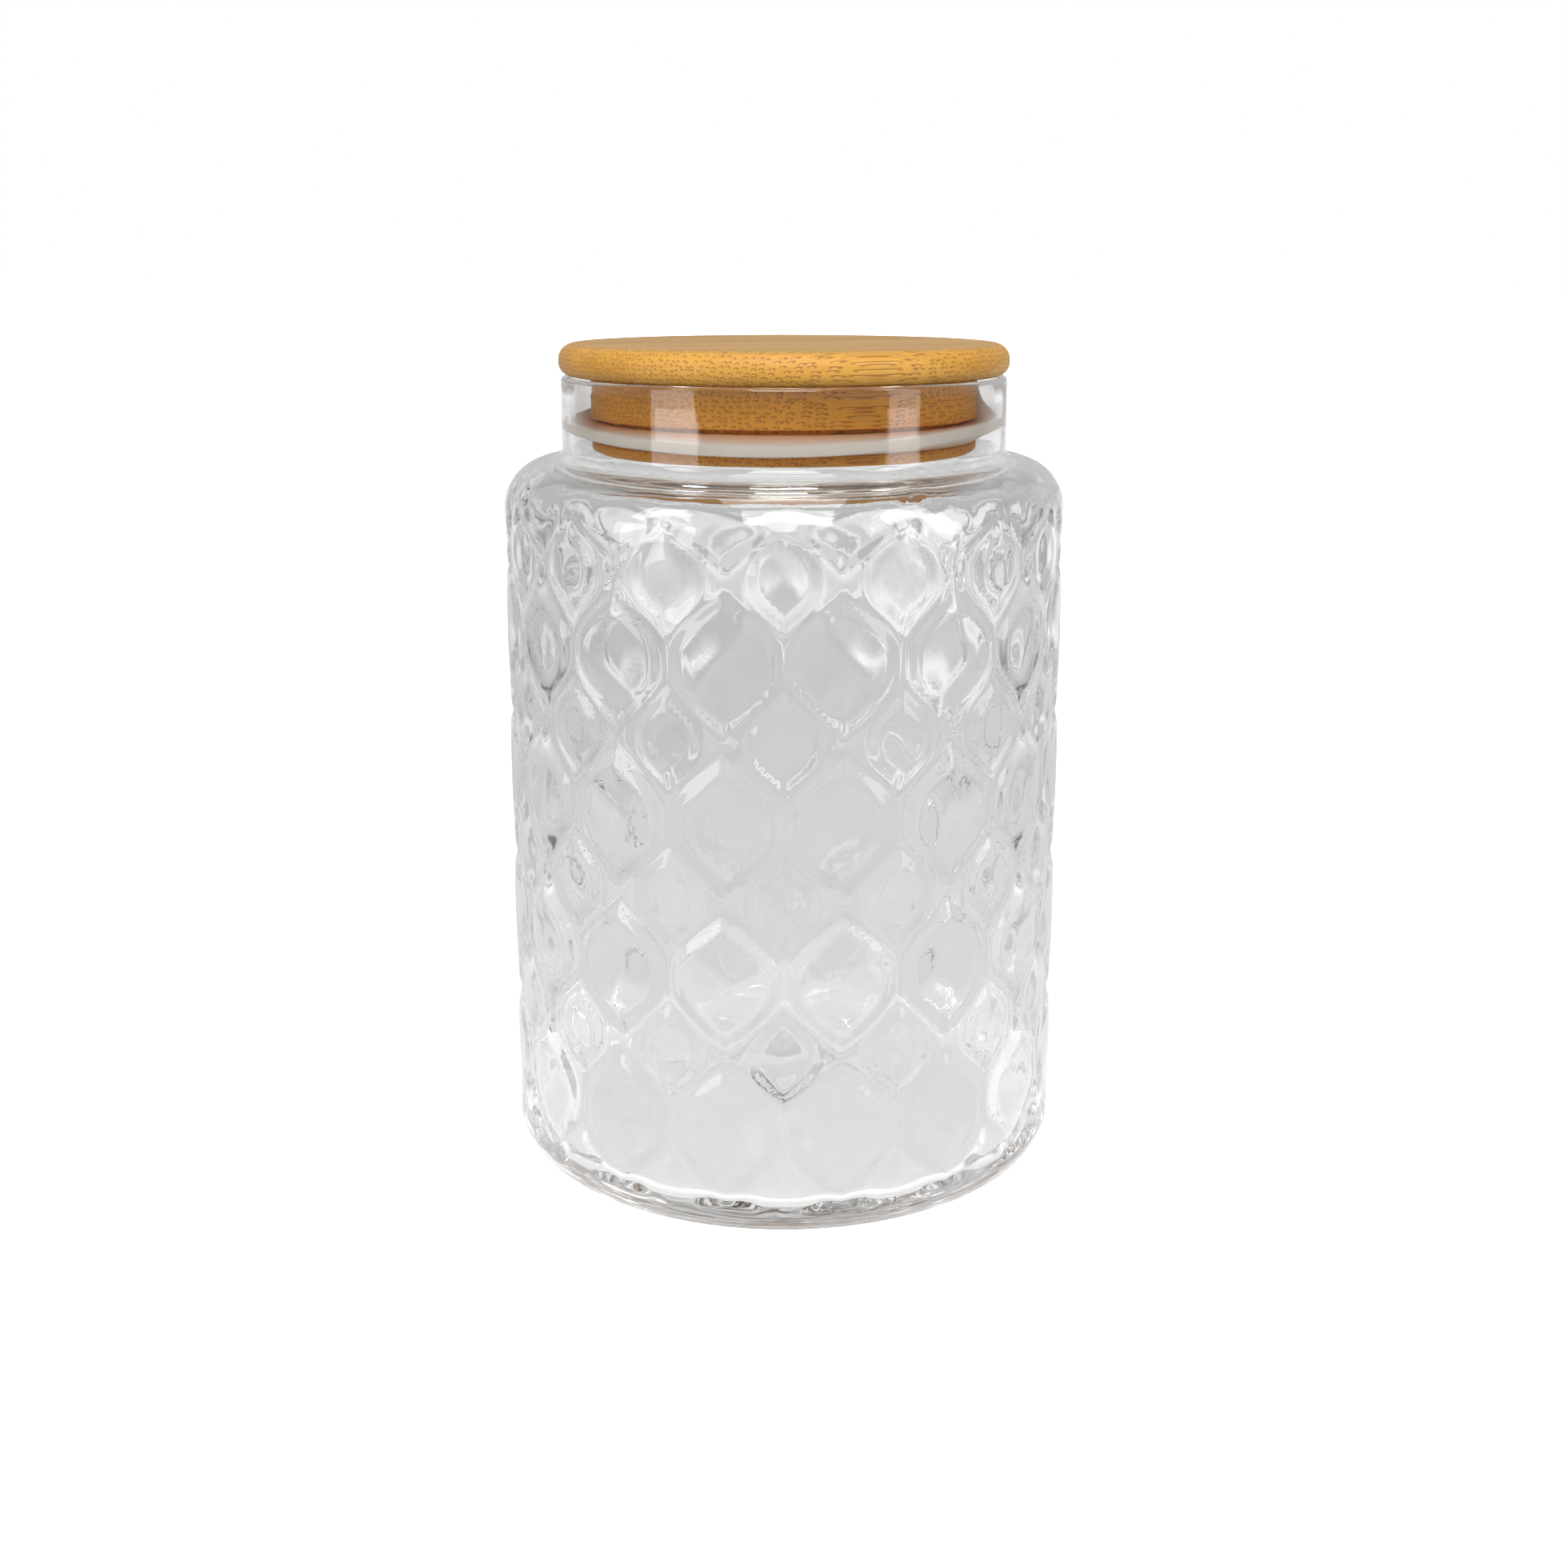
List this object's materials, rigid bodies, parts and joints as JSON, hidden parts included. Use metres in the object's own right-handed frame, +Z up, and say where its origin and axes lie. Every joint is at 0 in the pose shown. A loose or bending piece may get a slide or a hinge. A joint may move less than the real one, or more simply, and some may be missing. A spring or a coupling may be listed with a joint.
{
  "type": "glass food canister",
  "caption": "Cylindrical embossed glass jar with a short plain neck, closed by a round bamboo plug lid with a silicone lip seal.",
  "frame": {"origin": "centre of the base, on the surface that the jar stands on", "axes": "+Z up along the jar's axis, +X to the right; the jar is the same from every side, so +Y is only the side away from the viewer"},
  "size_m": [0.1258, 0.1258, 0.185],
  "materials": {
    "glass": "clear, pressed, fire polished",
    "bamboo": "fine sanded, lightly oiled",
    "silicone": "translucent white silicone, satin"
  },
  "bodies": {
    "jar": {"jar": "glass"},
    "seal": {"seal_ring": "silicone"},
    "lid": {"lid_disc": "bamboo", "lid_plug": "bamboo"}
  },
  "joints": [
    {"name": "lid_lift", "type": "slide", "parent": "jar", "child": "seal", "axis": [0, 0, 1], "range_m": [0, 0.12]},
    {"name": "lid_turn", "type": "hinge", "parent": "seal", "child": "lid", "pos_m": [0, 0, 0.1661], "axis": [0, 0, 1], "continuous": true}
  ]
}
